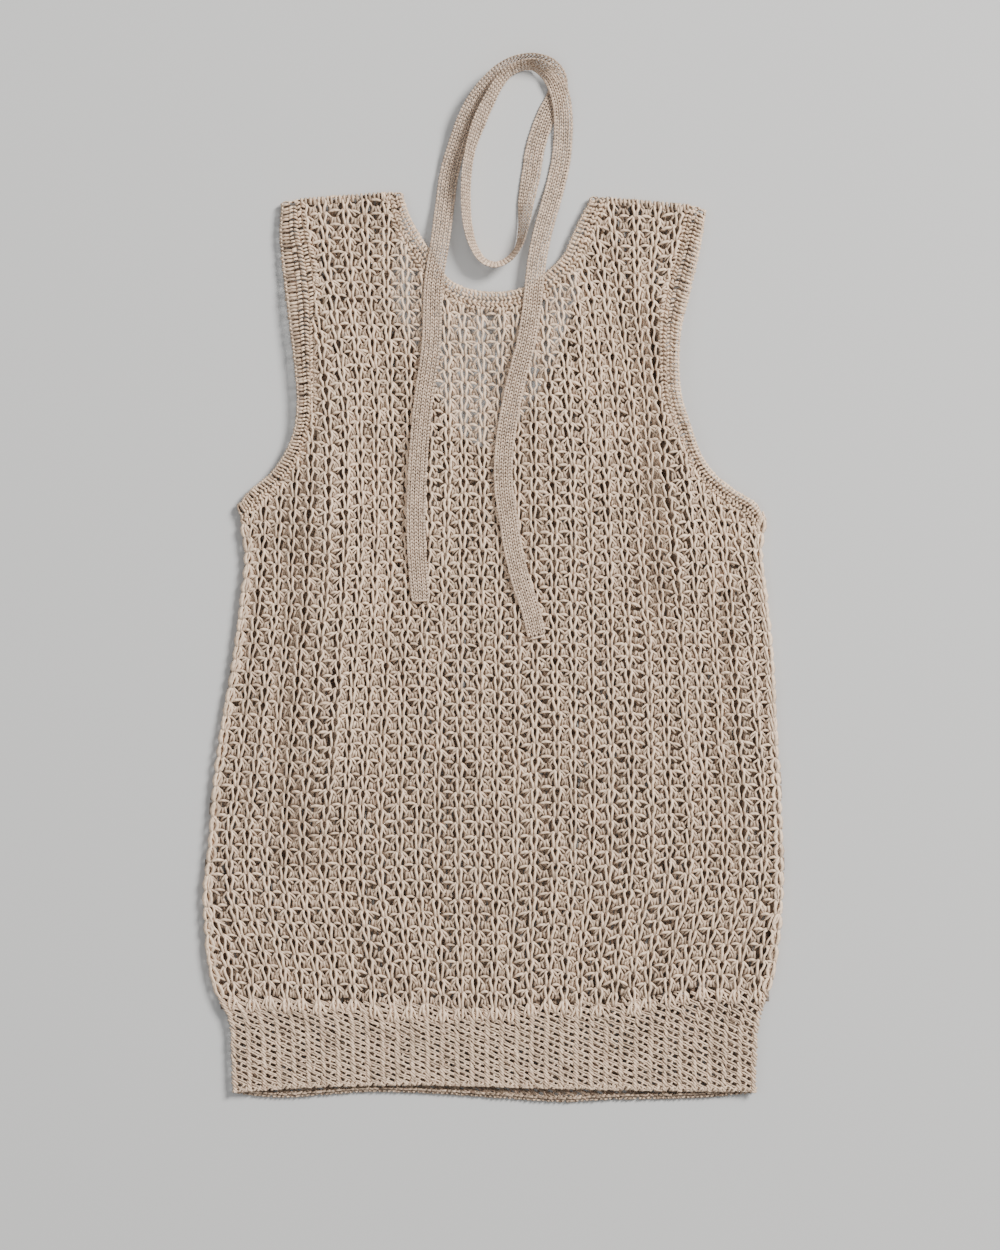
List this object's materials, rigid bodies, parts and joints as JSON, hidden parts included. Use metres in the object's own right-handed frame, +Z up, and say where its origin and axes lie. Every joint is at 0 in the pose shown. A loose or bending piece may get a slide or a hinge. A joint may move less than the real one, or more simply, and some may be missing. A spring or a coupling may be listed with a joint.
{
  "type": "sweater vest",
  "caption": "Sleeveless openwork rib knit vest laid flat, back on front, with ribbed hem, knitted neck and armhole bands and a narrow loose knitted tie.",
  "frame": {"origin": "on the surface that the vest lies on, under the middle of its whole outline", "axes": "+X to the right seen from above, +Y from the hem towards the neck, +Z up from the surface"},
  "size_m": [0.3965, 0.7167, 0.0121],
  "materials": {
    "openwork_knit": "matt greige cord-like yarn, chunky openwork rib",
    "hem_rib_knit": "matt greige yarn, close 1x1 rib",
    "band_knit": "matt greige yarn, fine rib across the band",
    "tie_knit": "fine close knit band with a slight sheen"
  },
  "bodies": {
    "root": {"back_panel": "openwork_knit", "front_panel": "openwork_knit", "back_hem_rib": "hem_rib_knit", "front_hem_rib": "hem_rib_knit", "neckband": "band_knit", "armhole_band_left": "band_knit", "armhole_band_right": "band_knit", "neck_tie": "tie_knit"}
  },
  "joints": []
}
